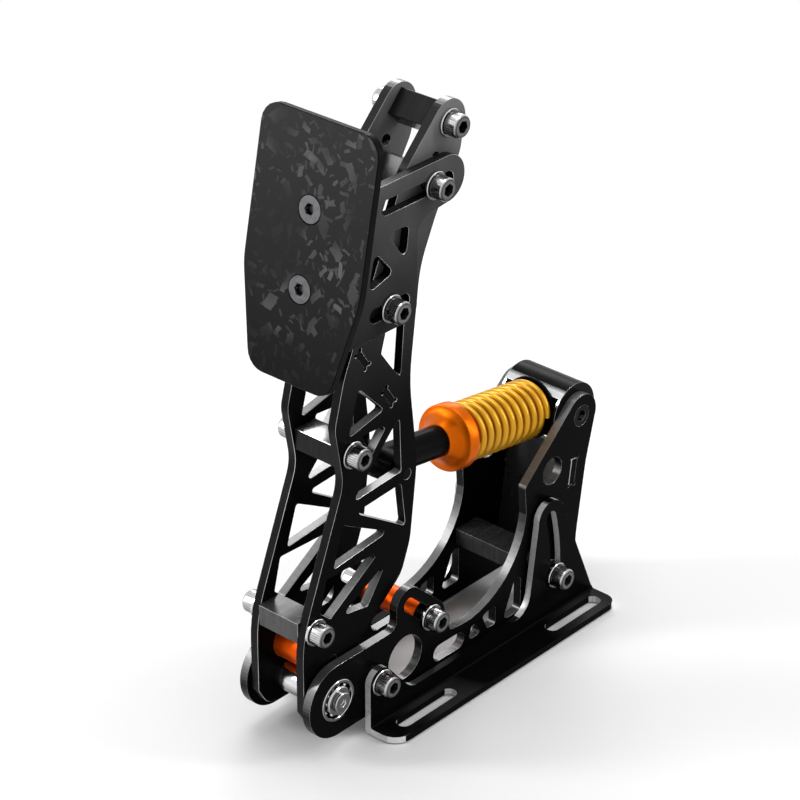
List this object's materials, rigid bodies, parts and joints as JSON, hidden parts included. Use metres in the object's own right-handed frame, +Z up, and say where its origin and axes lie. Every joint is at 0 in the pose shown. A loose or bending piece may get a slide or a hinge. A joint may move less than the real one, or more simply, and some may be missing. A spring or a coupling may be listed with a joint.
{
  "type": "sim racing pedal module",
  "caption": "Upright racing pedal on a tilting plate frame: truss arm, adjustable face plate, coil spring on a push rod, travel stop and slotted mounting brackets.",
  "frame": {"origin": "on the deck plane, in the middle of the module's overall width and length", "axes": "+X to the driver's right along the pedal pivot axis, +Y away from the driver, +Z up"},
  "size_m": [0.078, 0.1944, 0.274],
  "materials": {
    "black_frame": "satin black hard anodised plate with bright chamfers",
    "black_part": "satin black turned part",
    "bright_steel": "polished steel",
    "orange_anodised": "orange anodised aluminium",
    "yellow_spring": "yellow powder coat",
    "forged_carbon": "forged carbon in satin resin",
    "black_plastic": "matt moulded plastic",
    "black_rubber": "matt rubber"
  },
  "bodies": {
    "brackets": {"mounting_bracket_left": "black_frame", "mounting_bracket_right": "black_frame"},
    "frame": {"frame_plate_left": "black_frame", "frame_plate_right": "black_frame", "frame_rear_crossbar": "black_part", "frame_crossbar_screws": "black_part", "tower_web": "black_frame", "front_frame_tube": "bright_steel", "rear_frame_tube": "bright_steel", "frame_bolts": "bright_steel", "frame_washers": "bright_steel", "frame_spacers": "bright_steel", "bearing_outer_rings": "bright_steel", "angle_sensor": "black_plastic"},
    "arm": {"bearing_inner_rings": "bright_steel", "bearing_balls": "bright_steel", "bearing_shims": "bright_steel", "pivot_shaft": "bright_steel", "pivot_end_washers": "bright_steel", "pivot_end_screws": "bright_steel", "arm_plate_left": "black_frame", "arm_plate_right": "black_frame", "arm_web": "black_frame", "top_crossbar": "black_part", "upper_crossbar": "black_part", "lower_crossbar": "black_part", "middle_crossbar": "black_part", "foot_crossbar": "black_part", "arm_spacer": "orange_anodised", "arm_bolts": "bright_steel", "arm_washers": "bright_steel", "carrier_clamp_bolts": "bright_steel", "carrier_clamp_washers": "bright_steel", "rod_pin_dowel": "bright_steel", "sensor_magnet_ring": "black_plastic"},
    "face": {"face_carrier_left": "black_frame", "face_carrier_right": "black_frame", "face_crossbar_upper": "black_part", "face_crossbar_lower": "black_part", "face_carrier_screws": "black_part", "face_plate": "forged_carbon", "face_screws": "black_part"},
    "stop": {"stop_tube": "orange_anodised", "stop_bolts": "bright_steel", "stop_washers": "bright_steel"},
    "rod": {"push_rod_eye": "black_part", "push_rod": "bright_steel", "spring_cap": "orange_anodised", "rebound_washer": "black_rubber", "rod_lock_nut": "bright_steel"},
    "trunnion": {"trunnion": "black_part", "spring_seat": "bright_steel", "spring": "yellow_spring"}
  },
  "joints": [
    {"name": "frame_tilt", "type": "hinge", "parent": "brackets", "child": "frame", "pos_m": [0, -0.05819, 0.0235], "axis": [1, 0, 0], "range_deg": [0, 15.6]},
    {"name": "pedal_press", "type": "hinge", "parent": "frame", "child": "arm", "pos_m": [0, -0.08019, 0.0235], "axis": [-1, 0, 0], "range_deg": [0, 10], "stiffness_Nm_per_rad": 102, "springref_deg": -2.01, "deforming": ["spring"]},
    {"name": "push_rod_swing", "type": "hinge", "parent": "arm", "child": "rod", "pos_m": [0, -0.03169, 0.1088], "axis": [1, 0, 0], "range_deg": [0, 15]},
    {"name": "trunnion_turn", "type": "hinge", "parent": "frame", "child": "trunnion", "pos_m": [0, 0.07731, 0.093], "axis": [1, 0, 0], "range_deg": [0, 5]},
    {"name": "face_adjust", "type": "slide", "parent": "arm", "child": "face", "axis": [0, 1, 0], "range_m": [-0.008, 0.008]},
    {"name": "stop_adjust", "type": "slide", "parent": "frame", "child": "stop", "axis": [0, -0.7314, 0.682], "range_m": [-0.0015, 0.011]}
  ],
  "couplings": [
    {"joint": "push_rod_swing", "follows": "pedal_press", "ratio": 1.432},
    {"joint": "trunnion_turn", "follows": "pedal_press", "ratio": 0.432}
  ]
}
